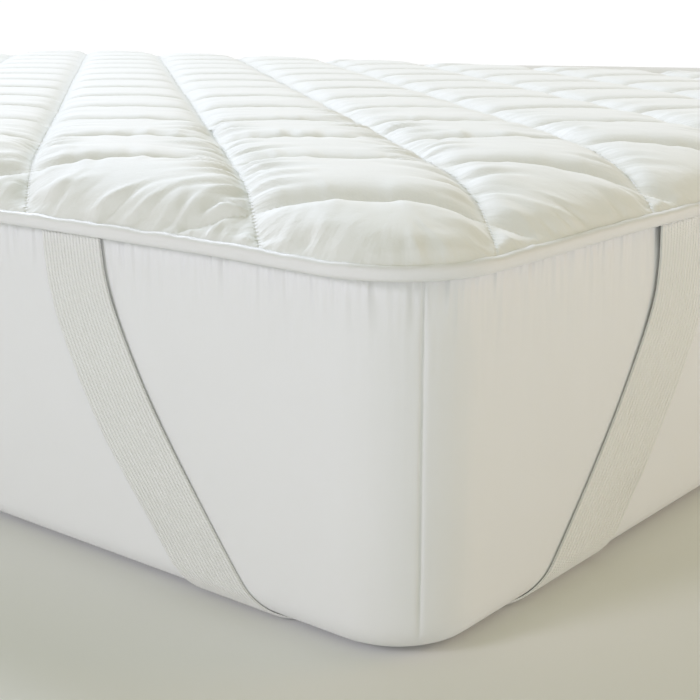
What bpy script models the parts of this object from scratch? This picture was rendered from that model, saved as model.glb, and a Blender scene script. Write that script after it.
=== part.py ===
"""A quilted mattress protector with elastic corner straps, on a plain mattress.

Metres, +Z up. X runs across the bed, Y along it, and the origin is at the middle of the
underside. Each piece that is cut or sewn on is its own object: the filled quilted panel,
the binding round its edge, and a strap across each lower corner of the mattress.
"""

import math

import bmesh
import bpy

# Driving dimensions of the mattress, a full or double size
MATTRESS_WIDTH = 1.372
MATTRESS_LENGTH = 1.905
MATTRESS_HEIGHT = 0.254
CORNER_RADIUS = 0.058
BOTTOM_RADIUS = 0.022
FILLET_RADIUS = 0.012
# The shoulder: how far the top drops to the walls, over which width from the long and the
# short sides, and the plan radii of the level top's own corners along those sides
SHOULDER_RISE = 0.0225
SHOULDER_X = 0.095
SHOULDER_Y = 0.150
TOP_RADIUS_X = 0.085
TOP_RADIUS_Y = 0.110
SHOULDER_SHARES = (0.11, 0.26, 0.46, 0.7, 1.0)
SHARE_HALVINGS = 22
FOOT_LIFT = 0.0024
FOOT_INSET = 0.030
FOOT_STEP = 0.015
FOOT_CORNER_RADIUS = 0.34
CORNER_STEPS = 8
BOTTOM_STEPS = 5
FILLET_STEPS = 3

# Binding: a rolled tape with a slot that holds the panel's hem
BINDING_OUT = 0.0045
BINDING_ABOVE_WALL = 0.008
BINDING_HALF_WIDTH = 0.0042
BINDING_HALF_HEIGHT = 0.0045
SLOT_HALF = 0.0022
SLOT_END = -0.0010
SLOT_MOUTH = math.radians(42)
SECTION_STEPS = 10
HEM_TILT = math.radians(40)
HEM_HALF = 0.0018
HEM_END = -0.0004

# Quilting: two families of straight seams that cross in diamonds.
# Columns: spacing along the bed, spacing across the bed, seam count at the foot's left corner.
SEAMS_A = (0.2084, 0.1856, -0.527)
SEAMS_B = (0.2463, 0.1774, -0.814)
# How far the foot's hem draws each family from its straight lines, in seams, and its reach
FOOT_PULL_A = -0.105
FOOT_PULL_B = 0.114
FOOT_PULL_REACH = 0.050
GRID_PER_PERIOD = 6
NARROWEST_STEP = 0.4
END_STEPS_X = 1
END_STEPS_Y = 3
SLANT_FADE = 0.12
SEAM_THICKNESS = 0.0022
PUFF_HEIGHT = 0.0092
PUFF_ROUNDING = 0.0125
EDGE_PLUMPNESS = 0.20
EDGE_PLUMP_REACH = 0.050
PUFF_FADE = 0.018
REST_GAP = 0.0006
HEM_BLEND = 0.024
HEM_OVER_INSET = 0.0
HEM_UNDER_INSET = 0.002

# Elastic straps
STRAP_THICKNESS = 0.0015
STRAP_GAP = 0.0005
STRAP_COLUMNS = 2
STRAP_FLARE = 0.020
SEWN_GAP = 0.0003

# Route of a strap's middle, unfolded: inward from each wall's foot, negative up the wall.
# The band is wider where it is pulled less. Columns: from the long side, from the short side, width.
STRAP_ROUTE = (
    (-0.2138, 0.2755, 0.056),
    (-0.1840, 0.2718, 0.056),
    (-0.1500, 0.2592, 0.055),
    (-0.1050, 0.2344, 0.054),
    (-0.0550, 0.1970, 0.050),
    (0.0000, 0.1530, 0.049),
    (0.0600, 0.1010, 0.053),
    (0.1180, 0.0510, 0.058),
    (0.1760, 0.0000, 0.062),
    (0.2260, -0.0515, 0.066),
    (0.2670, -0.1000, 0.070),
    (0.2985, -0.1470, 0.075),
    (0.3075, -0.1830, 0.077),
    (0.3060, -0.2138, 0.078),
)
STRAP_STEP_WALL = 0.014
STRAP_STEP_BEND = 0.006
STRAP_BEND_ZONE = 0.050
ROUTE_SAMPLES = 40
LEAST_RUN = 0.3
FOLD_FROM = -0.020
FOLD_TO = 0.030
FOLD_FADE = 0.055

# Heights and insets that follow from those
FILLET_TURN = math.atan2(3 * SHOULDER_RISE, SHOULDER_X)
FILLET_SWEEP = math.pi / 2 - FILLET_TURN
FILLET_INSET = FILLET_RADIUS * (1 - math.cos(FILLET_SWEEP))
WALL_TOP = MATTRESS_HEIGHT - SHOULDER_RISE - FILLET_RADIUS * math.sin(FILLET_SWEEP)
BINDING_Z = WALL_TOP + BINDING_ABOVE_WALL
HEM_TOP_INSET = -BINDING_OUT + HEM_END * math.cos(HEM_TILT) - HEM_HALF * math.sin(HEM_TILT)
OUTER_HALF_WIDTH = MATTRESS_WIDTH / 2 + BINDING_OUT + BINDING_HALF_WIDTH
OUTER_HALF_LENGTH = MATTRESS_LENGTH / 2 + BINDING_OUT + BINDING_HALF_WIDTH
CORE_HALF_WIDTH = MATTRESS_WIDTH / 2 - FILLET_INSET - SHOULDER_X
CORE_HALF_LENGTH = MATTRESS_LENGTH / 2 - FILLET_INSET - SHOULDER_Y

# Distance from seam to seam in each family
SEAM_GAP_A = 1 / math.hypot(1 / SEAMS_A[0], 1 / SEAMS_A[1])
SEAM_GAP_B = 1 / math.hypot(1 / SEAMS_B[0], 1 / SEAMS_B[1])

# The diamonds' mean size along and across the bed, and how far their rows slant from it
DIAMOND_LENGTH = 2 / (1 / SEAMS_A[0] + 1 / SEAMS_B[0])
DIAMOND_WIDTH = 2 / (1 / SEAMS_A[1] + 1 / SEAMS_B[1])
SLANT_ALONG = DIAMOND_WIDTH * (1 / SEAMS_B[0] - 1 / SEAMS_A[0]) / 2
SLANT_ACROSS = DIAMOND_LENGTH * (1 / SEAMS_B[1] - 1 / SEAMS_A[1]) / 2


def clear_scene():
    """Remove what a new Blender scene holds."""
    for item in list(bpy.data.objects):
        bpy.data.objects.remove(item, do_unlink=True)


def fabric(name, colour, roughness):
    """A plain cloth finish."""
    material = bpy.data.materials.new(name)
    material.use_nodes = True
    shader = material.node_tree.nodes["Principled BSDF"]
    shader.inputs["Base Color"].default_value = (*colour, 1.0)
    shader.inputs["Roughness"].default_value = roughness
    shader.inputs["Metallic"].default_value = 0.0
    return material


def add_object(name, shape, material, smooth_angle=40):
    """Close a bmesh into a named, shaded object."""
    bmesh.ops.recalc_face_normals(shape, faces=shape.faces)
    mesh = bpy.data.meshes.new(name)
    shape.to_mesh(mesh)
    shape.free()
    mesh.materials.append(material)
    mesh.shade_smooth()
    mesh.set_sharp_from_angle(angle=math.radians(smooth_angle))
    item = bpy.data.objects.new(name, mesh)
    bpy.context.scene.collection.objects.link(item)
    return item


def ease(value):
    """A smooth step from 0 to 1."""
    value = min(max(value, 0.0), 1.0)
    return value * value * (3 - 2 * value)


def bridge(shape, first, second):
    """Join two closed loops of the same count with a band of faces."""
    for index in range(len(first)):
        following = (index + 1) % len(first)
        corners = [first[index], first[following], second[following], second[index]]
        corners = list(dict.fromkeys(corners))
        if len(corners) > 2:
            shape.faces.new(corners)


def ring_of(shape, outline, height):
    """A level loop of vertices, one for each point, with points that coincide sharing one."""
    made = {}
    for x, y in outline:
        place = (round(x, 6), round(y, 6))
        if place not in made:
            made[place] = shape.verts.new((x, y, height))
    return [made[round(x, 6), round(y, 6)] for x, y in outline]


def even(inset, radius):
    """The measures of an outline that is inset and rounded alike along both sides."""
    return inset, inset, radius, radius


def hem_row(inset):
    """An outline near the walls, with round corners on one centre outside them."""
    return even(inset, CORNER_RADIUS - min(inset, 0.0))


def shoulder_row(share, radius_x, radius_y):
    """An outline at a share of the shoulder, with corner radii that go from the walls' own."""
    return (
        FILLET_INSET + SHOULDER_X * share,
        FILLET_INSET + SHOULDER_Y * share,
        CORNER_RADIUS + (radius_x - CORNER_RADIUS) * share,
        CORNER_RADIUS + (radius_y - CORNER_RADIUS) * share,
    )


def level_row(share):
    """The line of one height on the shoulder."""
    return shoulder_row(share, TOP_RADIUS_X, TOP_RADIUS_Y)


def rounded_outline(row, steps=CORNER_STEPS):
    """Corners of a rounded rectangle, inset from the mattress's walls, anticlockwise."""
    inset_x, inset_y, radius_x, radius_y = row
    points = []
    half_width = MATTRESS_WIDTH / 2 - inset_x - radius_x
    half_length = MATTRESS_LENGTH / 2 - inset_y - radius_y
    for turn, (side_x, side_y) in enumerate(((1, 1), (-1, 1), (-1, -1), (1, -1))):
        for step in range(steps + 1):
            angle = (turn + step / steps) * math.pi / 2
            x = side_x * half_width + radius_x * math.cos(angle)
            y = side_y * half_length + radius_y * math.sin(angle)
            points.append((x, y))
    return points


def edge_inset(x, y):
    """How far a point lies in from the mattress's outline."""
    from_x = MATTRESS_WIDTH / 2 - abs(x)
    from_y = MATTRESS_LENGTH / 2 - abs(y)
    if max(from_x, from_y) < CORNER_RADIUS:
        return CORNER_RADIUS - math.hypot(CORNER_RADIUS - from_x, CORNER_RADIUS - from_y)
    return min(from_x, from_y)


def shoulder_share(x, y):
    """The share of the shoulder at a point, found by halving: 0 at the walls, 1 where it is level."""
    from_x = MATTRESS_WIDTH / 2 - abs(x)
    from_y = MATTRESS_LENGTH / 2 - abs(y)
    low, high = 0.0, 1.0
    for _ in range(SHARE_HALVINGS):
        share = (low + high) / 2
        inset_x, inset_y, radius_x, radius_y = level_row(share)
        beyond_x = max(inset_x + radius_x - from_x, 0.0) / radius_x
        beyond_y = max(inset_y + radius_y - from_y, 0.0) / radius_y
        if beyond_x**2 + beyond_y**2 <= 1:
            low = share
        else:
            high = share
    return (low + high) / 2


def shoulder_height(share):
    """Height of the mattress's top: a soft shoulder that levels out away from the walls."""
    return MATTRESS_HEIGHT - SHOULDER_RISE * (1 - share) ** 3


def mattress_profile():
    """Outlines and heights, from the flat foot up and over to the top."""
    rows = [
        (even(FOOT_INSET + FOOT_STEP, FOOT_CORNER_RADIUS), 0.0),
        (even(FOOT_INSET, FOOT_CORNER_RADIUS), FOOT_LIFT),
    ]
    for step in range(BOTTOM_STEPS + 1):
        angle = step / BOTTOM_STEPS * math.pi / 2
        inset = BOTTOM_RADIUS * (1 - math.sin(angle))
        height = FOOT_LIFT + BOTTOM_RADIUS * (1 - math.cos(angle))
        rows.append((even(inset, CORNER_RADIUS - inset), height))
    for step in range(FILLET_STEPS + 1):
        angle = step / FILLET_STEPS * FILLET_SWEEP
        inset = FILLET_RADIUS * (1 - math.cos(angle))
        height = WALL_TOP + FILLET_RADIUS * math.sin(angle)
        rows.append((even(inset, CORNER_RADIUS), height))
    for share in SHOULDER_SHARES:
        rows.append((level_row(share), shoulder_height(share)))
    return rows


def make_mattress():
    """The plain mattress, with a flat foot that is lifted a little where straps pass."""
    shape = bmesh.new()
    loops = []
    for row, height in mattress_profile():
        loops.append(ring_of(shape, rounded_outline(row), height))
    for lower, upper in zip(loops, loops[1:]):
        bridge(shape, lower, upper)
    shape.faces.new(loops[0])
    shape.faces.new(list(dict.fromkeys(loops[-1])))
    return add_object("mattress", shape, fabric("mattress_cover", (0.80, 0.80, 0.80), 0.8))


def quilt_phases(x, y):
    """Seam counts at a point: a seam of either family runs where its count is whole."""
    along = y + OUTER_HALF_LENGTH
    across = x + OUTER_HALF_WIDTH
    pull = math.exp(-along / FOOT_PULL_REACH)
    phase_a = along / SEAMS_A[0] - across / SEAMS_A[1] + SEAMS_A[2] + FOOT_PULL_A * pull
    phase_b = along / SEAMS_B[0] + across / SEAMS_B[1] + SEAMS_B[2] + FOOT_PULL_B * pull
    return phase_a, phase_b


def seam_rise(phase, gap):
    """How far a puff has risen beside a seam: 0 at the stitches, and almost 1 between seams."""
    return math.tanh(abs(phase - round(phase)) * gap / PUFF_ROUNDING)


def hem_height(inset, side):
    """Height of the sloping hem's upper (+1) or lower (-1) face."""
    axis = BINDING_Z + (inset + BINDING_OUT) * math.tan(HEM_TILT)
    return axis + side * HEM_HALF / math.cos(HEM_TILT)


def panel_top(x, y):
    """Height of the panel's upper face: the shoulder, the seams and the puffs between."""
    inset = edge_inset(x, y)
    phase_a, phase_b = quilt_phases(x, y)
    risen = seam_rise(phase_a, SEAM_GAP_A) * seam_rise(phase_b, SEAM_GAP_B)
    fade = ease((inset - HEM_TOP_INSET) / PUFF_FADE)
    plump = 1 + EDGE_PLUMPNESS * math.exp(-max(inset, 0.0) / EDGE_PLUMP_REACH)
    puff = PUFF_HEIGHT * plump * risen * fade
    lying = shoulder_height(shoulder_share(x, y)) + REST_GAP + SEAM_THICKNESS + puff
    hem = hem_height(inset, 1)
    share = ease((inset - HEM_TOP_INSET) / HEM_BLEND)
    return hem + (lying - hem) * share


def grid_lines(half, outer_half, period, phase):
    """Grid lines across the panel's core, on the quilting's own spacing."""
    step = period / GRID_PER_PERIOD
    narrowest = NARROWEST_STEP * step
    first = math.ceil(((outer_half - half + narrowest) / period - phase) * GRID_PER_PERIOD)
    lines = [-half]
    place = (phase + first / GRID_PER_PERIOD) * period - outer_half
    while place < half - narrowest:
        lines.append(place)
        place += step
    lines.append(half)
    return lines


def on_seams(x, y):
    """Move a grid point so that it stays on the slanting quilting, away from the core's edge."""
    room = min(CORE_HALF_WIDTH - abs(x), CORE_HALF_LENGTH - abs(y))
    share = ease(room / SLANT_FADE) / (1 - SLANT_ALONG * SLANT_ACROSS)
    slant_x = SLANT_ALONG * (SLANT_ACROSS * x - y)
    slant_y = SLANT_ACROSS * (SLANT_ALONG * y - x)
    return x + share * slant_x, y + share * slant_y


def side_places(lines, half, straight, end_steps):
    """Places along one straight side: the core's lines, and on from their ends to the arcs.

    Where the corners leave less straight side than the core has, the core's places draw together.
    """
    reach = min(half, straight)
    ends = [reach + (straight - reach) * step / end_steps for step in range(end_steps)]
    return [-end for end in ends[::-1]] + [line * reach / half for line in lines[1:-1]] + ends


def rim_outline(lines_x, lines_y, row):
    """The panel's outline on a row: round corners, and points on the core's grid lines."""
    inset_x, inset_y, radius_x, radius_y = row
    arcs = rounded_outline(row)
    half_width = MATTRESS_WIDTH / 2 - inset_x
    half_length = MATTRESS_LENGTH / 2 - inset_y
    places_x = side_places(lines_x, CORE_HALF_WIDTH, half_width - radius_x, END_STEPS_X)
    places_y = side_places(lines_y, CORE_HALF_LENGTH, half_length - radius_y, END_STEPS_Y)
    sides = (
        [(half_width, y) for y in places_y],
        [(x, half_length) for x in places_x[::-1]],
        [(-half_width, y) for y in places_y[::-1]],
        [(x, -half_length) for x in places_x],
    )
    outline = []
    for turn, side in enumerate(sides):
        first = turn * (CORNER_STEPS + 1)
        outline += side + arcs[first:first + CORNER_STEPS + 1]
    return outline


def core_rim(core, columns, rows):
    """The core's edge in the order of rim_outline, with each corner once for each point near it."""
    sides = (
        [core[columns - 1, row] for row in range(rows)],
        [core[column, rows - 1] for column in range(columns - 1, -1, -1)],
        [core[0, row] for row in range(rows - 1, -1, -1)],
        [core[column, 0] for column in range(columns)],
    )
    rim = []
    for side, end_steps in zip(sides, (END_STEPS_Y, END_STEPS_X) * 2):
        rim += [side[0]] * end_steps + side[1:-1] + [side[-1]] * (end_steps + CORNER_STEPS + 1)
    return rim


def make_core(shape, lines_x, lines_y):
    """The level middle of the quilting, split so that its edges follow the seams."""
    core = {}
    for column, line_x in enumerate(lines_x):
        for row, line_y in enumerate(lines_y):
            x, y = on_seams(line_x, line_y)
            core[column, row] = shape.verts.new((x, y, panel_top(x, y)))
    for column in range(len(lines_x) - 1):
        for row in range(len(lines_y) - 1):
            near = core[column, row]
            right = core[column + 1, row]
            far = core[column + 1, row + 1]
            left = core[column, row + 1]
            if near.co.z + far.co.z < right.co.z + left.co.z:
                shape.faces.new((near, right, far))
                shape.faces.new((near, far, left))
            else:
                shape.faces.new((near, right, left))
                shape.faces.new((right, far, left))
    return core


def make_panel():
    """The filled quilted panel: one closed solid, puffed between its seams."""
    shape = bmesh.new()
    side_a, side_b = quilt_phases(-OUTER_HALF_WIDTH, 0.0)
    foot_a, foot_b = quilt_phases(0.0, -OUTER_HALF_LENGTH)
    lines_x = grid_lines(CORE_HALF_WIDTH, OUTER_HALF_WIDTH, DIAMOND_WIDTH, (side_a - side_b) / 2)
    lines_y = grid_lines(CORE_HALF_LENGTH, OUTER_HALF_LENGTH, DIAMOND_LENGTH, -(foot_a + foot_b) / 2)
    core = make_core(shape, lines_x, lines_y)
    previous = core_rim(core, len(lines_x), len(lines_y))
    upper = [shoulder_row(share, 0.0, 0.0) for share in SHOULDER_SHARES[-2::-1]]
    for row in (*upper, hem_row(HEM_OVER_INSET), hem_row(HEM_TOP_INSET)):
        outline = rim_outline(lines_x, lines_y, row)
        loop = [shape.verts.new((x, y, panel_top(x, y))) for x, y in outline]
        bridge(shape, previous, loop)
        previous = loop
    hem_low = HEM_TOP_INSET + 2 * HEM_HALF * math.sin(HEM_TILT)
    lower = [(hem_row(inset), hem_height(inset, -1)) for inset in (hem_low, HEM_UNDER_INSET)]
    lower += [(level_row(share), shoulder_height(share) + REST_GAP) for share in SHOULDER_SHARES]
    for row, height in lower:
        loop = ring_of(shape, rim_outline(lines_x, lines_y, row), height)
        bridge(shape, previous, loop)
        previous = loop
    shape.faces.new(list(dict.fromkeys(previous)))
    return add_object("quilted_panel", shape, fabric("quilted_cover", (0.84, 0.85, 0.84), 0.75))


def binding_section():
    """The binding's section, as outward and upward offsets: a roll with a slot for the hem."""
    inward = math.pi - HEM_TILT
    points = []
    for step in range(SECTION_STEPS + 1):
        angle = inward + SLOT_MOUTH + 2 * (math.pi - SLOT_MOUTH) * step / SECTION_STEPS
        points.append((BINDING_HALF_WIDTH * math.cos(angle), BINDING_HALF_HEIGHT * math.sin(angle)))
    axis = (math.cos(inward), math.sin(inward))
    side = (-math.sin(inward), math.cos(inward))
    mouth = BINDING_HALF_WIDTH * math.cos(SLOT_MOUTH)
    for along, over in (
        (mouth, -SLOT_HALF),
        (SLOT_END, -SLOT_HALF),
        (SLOT_END, SLOT_HALF),
        (mouth, SLOT_HALF),
    ):
        points.append((axis[0] * along + side[0] * over, axis[1] * along + side[1] * over))
    return points


def make_binding():
    """The rolled tape, carried round the panel's outline as one closed loop."""
    shape = bmesh.new()
    rings = []
    for out, up in binding_section():
        outline = rounded_outline(hem_row(-(BINDING_OUT + out)))
        rings.append(ring_of(shape, outline, BINDING_Z + up))
    for index, ring in enumerate(rings):
        bridge(shape, ring, rings[(index + 1) % len(rings)])
    return add_object("edge_binding", shape, fabric("binding_tape", (0.86, 0.86, 0.85), 0.6))


def catmull_rom(points, samples):
    """A smooth curve through the points, sampled evenly between each two."""
    ends = [points[0], *points, points[-1]]
    curve = []
    for before, start, end, after in zip(ends, ends[1:], ends[2:], ends[3:]):
        for step in range(samples):
            t = step / samples
            curve.append(
                tuple(
                    0.5 * (2 * s + (e - b) * t + (2 * b - 5 * s + 4 * e - a) * t**2
                           + (3 * s - b - 3 * e + a) * t**3)
                    for b, s, e, a in zip(before, start, end, after)
                )
            )
    curve.append(points[-1])
    return curve


def strap_stations():
    """Places with their widths, and unit directions, closer together round the bottom edges."""
    curve = catmull_rom(STRAP_ROUTE, ROUTE_SAMPLES)
    picked = [curve[0]]
    for point in curve[1:-1]:
        step = STRAP_STEP_BEND if abs(min(point[:2])) < STRAP_BEND_ZONE else STRAP_STEP_WALL
        if math.dist(point, picked[-1]) >= step:
            picked.append(point)
    if math.dist(picked[-1], curve[-1]) < STRAP_STEP_BEND:
        picked.pop()
    picked.append(curve[-1])
    stations = []
    for index, point in enumerate(picked):
        before = picked[max(index - 1, 0)]
        after = picked[min(index + 1, len(picked) - 1)]
        run = (after[0] - before[0], after[1] - before[1])
        length = math.hypot(*run)
        direction = (run[0] / length, run[1] / length)
        if index in (0, len(picked) - 1):
            direction = (round(direction[0]), round(direction[1]))
        stations.append((point, direction))
    return stations


def fold_share(inward):
    """1 where a strap goes round a bottom edge, and 0 away from it."""
    return 1 - ease(max(FOLD_FROM - inward, inward - FOLD_TO) / FOLD_FADE)


def across_strap(point, run):
    """The strap's crosswise direction, turned to lie along each edge that it is folded over."""
    over_long = fold_share(point[0]) * run[1] / max(run[0], LEAST_RUN)
    over_short = fold_share(point[1]) * run[0] / max(-run[1], LEAST_RUN)
    skew = over_long + over_short
    return -run[1] + skew * run[0], run[0] + skew * run[1]


def fold_profile(inward, lift):
    """Fold an unfolded distance round the bottom edge: inset from the wall, and height."""
    radius = BOTTOM_RADIUS
    if inward >= radius:
        return inward, FOOT_LIFT - lift
    turn = (radius - inward) / radius
    if turn < math.pi / 2:
        reach = radius + lift
        return radius - reach * math.sin(turn), FOOT_LIFT + radius - reach * math.cos(turn)
    height = FOOT_LIFT + radius + (radius - inward) - radius * math.pi / 2
    flare_from = WALL_TOP - STRAP_FLARE
    flare = ease((height - flare_from) / STRAP_FLARE) * (BINDING_OUT - STRAP_GAP)
    return -lift - flare, height


def strap_point(from_long, from_short, lift):
    """A point of a strap at the corner where X and Y are both positive."""
    if from_long < BOTTOM_RADIUS:
        inset, height = fold_profile(from_long, lift)
        return MATTRESS_WIDTH / 2 - inset, MATTRESS_LENGTH / 2 - from_short, height
    if from_short < BOTTOM_RADIUS:
        inset, height = fold_profile(from_short, lift)
        return MATTRESS_WIDTH / 2 - from_long, MATTRESS_LENGTH / 2 - inset, height
    height = FOOT_LIFT - lift
    return MATTRESS_WIDTH / 2 - from_long, MATTRESS_LENGTH / 2 - from_short, height


def make_strap(name, side_x, side_y, material):
    """One strap: a flat band from the long side, under the corner, to the short side."""
    shape = bmesh.new()
    sections = []
    top = BINDING_Z - BINDING_HALF_HEIGHT - SEWN_GAP
    for (from_long, from_short, width), run in strap_stations():
        across_long, across_short = across_strap((from_long, from_short), run)
        section = []
        for lift in (STRAP_GAP, STRAP_GAP + STRAP_THICKNESS):
            row = []
            for column in range(STRAP_COLUMNS + 1):
                over = width * (column / STRAP_COLUMNS - 0.5)
                place = (from_long + across_long * over, from_short + across_short * over)
                x, y, z = strap_point(*place, lift)
                row.append(shape.verts.new((x * side_x, y * side_y, min(z, top))))
            section += row if lift == STRAP_GAP else row[::-1]
        sections.append(section)
    for first, second in zip(sections, sections[1:]):
        bridge(shape, first, second)
    shape.faces.new(sections[0])
    shape.faces.new(sections[-1])
    return add_object(name, shape, material)


def main():
    clear_scene()
    make_mattress()
    make_panel()
    make_binding()
    elastic = fabric("strap_elastic", (0.80, 0.79, 0.77), 0.7)
    for end, side_y in (("foot", -1), ("head", 1)):
        for side, side_x in (("left", -1), ("right", 1)):
            make_strap(f"corner_strap_{end}_{side}", side_x, side_y, elastic)


main()
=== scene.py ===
"""Dresses a quilted mattress protector and the mattress that it is strapped to.

Metres, +Z up, X across the bed, Y along it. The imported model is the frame. Each shown piece
is a numpy surface that repeats the part's own sizes and formulas at a finer step, with the
cloth's gathers, folds, ribs and seams added. Nothing is read from disk apart from the frame.
"""

import math

import bpy
import numpy as np
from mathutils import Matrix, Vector


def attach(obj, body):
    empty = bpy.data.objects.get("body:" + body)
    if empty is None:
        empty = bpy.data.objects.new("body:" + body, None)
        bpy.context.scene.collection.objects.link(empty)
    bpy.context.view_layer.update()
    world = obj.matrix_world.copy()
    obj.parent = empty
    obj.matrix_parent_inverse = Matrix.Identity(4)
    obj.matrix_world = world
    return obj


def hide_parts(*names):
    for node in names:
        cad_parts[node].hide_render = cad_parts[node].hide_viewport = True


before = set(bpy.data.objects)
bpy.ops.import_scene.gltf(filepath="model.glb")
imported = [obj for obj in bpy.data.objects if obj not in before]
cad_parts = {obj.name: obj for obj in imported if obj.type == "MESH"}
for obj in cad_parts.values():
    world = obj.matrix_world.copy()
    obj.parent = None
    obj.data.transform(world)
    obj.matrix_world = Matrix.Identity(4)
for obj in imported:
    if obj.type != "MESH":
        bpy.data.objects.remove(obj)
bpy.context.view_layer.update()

# Mattress, as in the part
WIDTH, LENGTH, HEIGHT = 1.372, 1.905, 0.254
CORNER_RADIUS = 0.058
BOTTOM_RADIUS = 0.022
FILLET_RADIUS = 0.012
SHOULDER_RISE, SHOULDER_X, SHOULDER_Y = 0.0225, 0.095, 0.150
TOP_RADIUS_X, TOP_RADIUS_Y = 0.085, 0.110
SHARE_HALVINGS = 22
FOOT_LIFT, FOOT_INSET, FOOT_STEP, FOOT_CORNER_RADIUS = 0.0024, 0.030, 0.015, 0.34
FILLET_TURN = math.atan2(3 * SHOULDER_RISE, SHOULDER_X)
FILLET_SWEEP = math.pi / 2 - FILLET_TURN
FILLET_INSET = FILLET_RADIUS * (1 - math.cos(FILLET_SWEEP))
WALL_TOP = HEIGHT - SHOULDER_RISE - FILLET_RADIUS * math.sin(FILLET_SWEEP)
CORE_X, CORE_Y = WIDTH / 2 - FILLET_INSET - SHOULDER_X, LENGTH / 2 - FILLET_INSET - SHOULDER_Y

# Binding and hem, as in the part
BINDING_OUT, BINDING_ABOVE_WALL = 0.0045, 0.008
BINDING_HALF_WIDTH, BINDING_HALF_HEIGHT = 0.0042, 0.0045
BINDING_Z = WALL_TOP + BINDING_ABOVE_WALL
HEM_TILT, HEM_HALF, HEM_END = math.radians(40), 0.0018, -0.0004
HEM_TOP_INSET = -BINDING_OUT + HEM_END * math.cos(HEM_TILT) - HEM_HALF * math.sin(HEM_TILT)
HEM_LOW_INSET = HEM_TOP_INSET + 2 * HEM_HALF * math.sin(HEM_TILT)
OUTER_X = WIDTH / 2 + BINDING_OUT + BINDING_HALF_WIDTH
OUTER_Y = LENGTH / 2 + BINDING_OUT + BINDING_HALF_WIDTH

# Quilting, as in the part. Columns: spacing along the bed, across it, count at the foot's left
SEAMS_A, SEAMS_B = (0.2084, 0.1856, -0.527), (0.2463, 0.1774, -0.814)
FOOT_PULL_A, FOOT_PULL_B, FOOT_PULL_REACH = -0.105, 0.114, 0.050
SEAM_THICKNESS, PUFF_HEIGHT, PUFF_ROUNDING = 0.0022, 0.0092, 0.0125
EDGE_PLUMPNESS, EDGE_PLUMP_REACH = 0.20, 0.050
REST_GAP, HEM_UNDER_INSET = 0.0006, 0.002
# Rim of the shown cloth, a little rounder than the part's: how far in the puffs reach their
# height, where the hem lets go, and how soon it gives way to the quilting
EDGE_ROUNDING, HEM_FREE_INSET, HEM_BLEND = 0.012, -0.0015, 0.006
# For each family. Columns: distance from seam to seam, distance between crossings on a seam
STEEP_A, STEEP_B = (math.hypot(1 / seams[0], 1 / seams[1]) for seams in (SEAMS_A, SEAMS_B))
CROSSINGS = 1 / (SEAMS_A[0] * SEAMS_B[1]) + 1 / (SEAMS_B[0] * SEAMS_A[1])
FAMILY_A, FAMILY_B = (1 / STEEP_A, STEEP_A / CROSSINGS), (1 / STEEP_B, STEEP_B / CROSSINGS)

# Steps of the shown cloth, finest at the photographed corner
CORE_STEP_X, CORE_STEP_Y, CORE_GROWTH = 0.0020, 0.0022, 0.24
RIM_STEP, RIM_GROWTH = 0.0016, 0.06
ARC_STEPS = (14, 14, 44, 14)
# Steps between the core's ends and the arcs, at the foot or left and at the head or right
PANEL_ENDS, TAPE_ENDS, COVER_ENDS = ((17, 6), (38, 14)), ((13, 8), (30, 20)), ((11, 6), (24, 12))

# Gathers along the seams: wavelength, height, how closely they keep to the seam
SEAM_GATHERS = ((0.0085, 0.0018, 5.0), (0.0170, 0.0049, 1.6), (0.0290, 0.0019, 1.0))
# Gathers along the binding: wavelength, height, reach
EDGE_GATHERS = ((0.0080, 0.0036, 0.013), (0.0135, 0.0080, 0.020), (0.0280, 0.0030, 0.027))
# How far those lean: slowly, and over a finer length along the edge and inward from it
LEAN_SLOW, LEAN_SLOW_LENGTH = 0.55, 0.060
LEAN_FINE, LEAN_FINE_LENGTH, LEAN_FINE_INWARD = 0.30, 0.021, 0.03
# Their reach: its even part, how much it varies and over which length, and from gather to gather
REACH_BASE, REACH_VARIETY, REACH_LENGTH, REACH_OWN = 0.75, 0.30, 0.07, 0.35
# Soft folds that run along the puffs: wavelength, length, height
PUFF_FOLDS = ((0.034, 0.15, 0.00022), (0.070, 0.20, 0.0004))
# Shape of a gather beside a seam: lean, length and rise, the last two in wavelengths
GATHER_LEAN, GATHER_LENGTH, GATHER_RISE = 0.28, 3.2, 0.3
# Slow wander of the two families of seams: how far, in seams, and over which lengths
SEAM_WANDER, WANDER_A, WANDER_B = 0.006, 0.21, 0.19
# Puffs: how much one differs from the next, its even part, and the crown along its middle
PUFF_VARIETY, PUFF_BASE, PUFF_CROWN = 0.08, 0.84, 0.20
# Pinched fold beside a crossing: its length and how much longer some are, the height of its arch
# at the ends, how much more in the middle and how much that varies, its lip, and both creases
TUCK_LENGTH, TUCK_LONGER = 0.028, 0.020
ARCH_ENDS, ARCH_MIDDLE, ARCH_VARIETY = 0.0040, 0.0095, 0.0015
LIP_HEIGHT, CREASE_DEPTH, CREASE_WIDTH = 0.0042, 0.0045, 0.0024
BACK_CREASE_DEPTH, BACK_CREASE_WIDTH = 0.0016, 0.0028
# Lines of the panel's underside, as shares of the shoulder
UNDER_SHARES = (0.1, 0.26, 0.5, 1.0)
# The folds start this far in from the hem, and the cloth lies at least this thick past the rim
FOLDS_FROM_HEM, LEAST_THICKNESS, RIM_WIDTH = 0.03, 0.0008, 0.004


def ease(value):
    """A smooth step from 0 to 1: three squares less two cubes of the clipped value."""
    value = np.clip(value, 0.0, 1.0)
    return value * value * (3 - 2 * value)


def bell(distance, width):
    """A Gaussian: the exponential of minus the square of the distance over the width."""
    return np.exp(-((distance / width) ** 2))


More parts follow.
